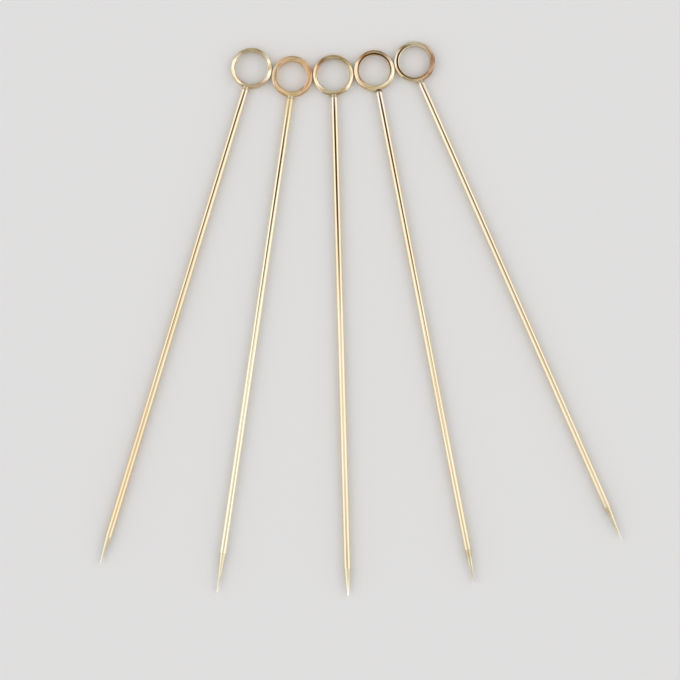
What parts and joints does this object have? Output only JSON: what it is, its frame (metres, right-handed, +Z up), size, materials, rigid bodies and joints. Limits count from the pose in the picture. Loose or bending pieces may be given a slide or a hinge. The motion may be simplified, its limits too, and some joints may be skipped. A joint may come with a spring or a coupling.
{
  "type": "cocktail picks",
  "caption": "Fan of straight metal cocktail picks lying flat: a round wire ground to a point, with a small flat ring welded to its blunt end as the handle.",
  "frame": {"origin": "on the table, under the middle of the fan's outline", "axes": "+Z up from the table, +Y along the fan towards the rings, with the points towards -Y, +X to the right seen from above"},
  "size_m": [0.1062, 0.1126, 0.0015],
  "materials": {
    "plated_wire": "polished",
    "plated_ring": "polished",
    "weld_bead": "satin"
  },
  "bodies": {
    "pick_3": {"pick_3_wire": "plated_wire", "pick_3_ring": "plated_ring", "pick_3_weld": "weld_bead"},
    "pick_1": {"pick_1_wire": "plated_wire", "pick_1_ring": "plated_ring", "pick_1_weld": "weld_bead"},
    "pick_2": {"pick_2_wire": "plated_wire", "pick_2_ring": "plated_ring", "pick_2_weld": "weld_bead"},
    "pick_4": {"pick_4_wire": "plated_wire", "pick_4_ring": "plated_ring", "pick_4_weld": "weld_bead"},
    "pick_5": {"pick_5_wire": "plated_wire", "pick_5_ring": "plated_ring", "pick_5_weld": "weld_bead"}
  },
  "joints": [
    {"name": "pick_1_lift", "type": "slide", "parent": "pick_3", "child": "pick_1", "axis": [0, 0, 1], "range_m": [0, 0.03]},
    {"name": "pick_2_lift", "type": "slide", "parent": "pick_3", "child": "pick_2", "axis": [0, 0, 1], "range_m": [0, 0.03]},
    {"name": "pick_4_lift", "type": "slide", "parent": "pick_3", "child": "pick_4", "axis": [0, 0, 1], "range_m": [0, 0.03]},
    {"name": "pick_5_lift", "type": "slide", "parent": "pick_3", "child": "pick_5", "axis": [0, 0, 1], "range_m": [0, 0.03]}
  ]
}
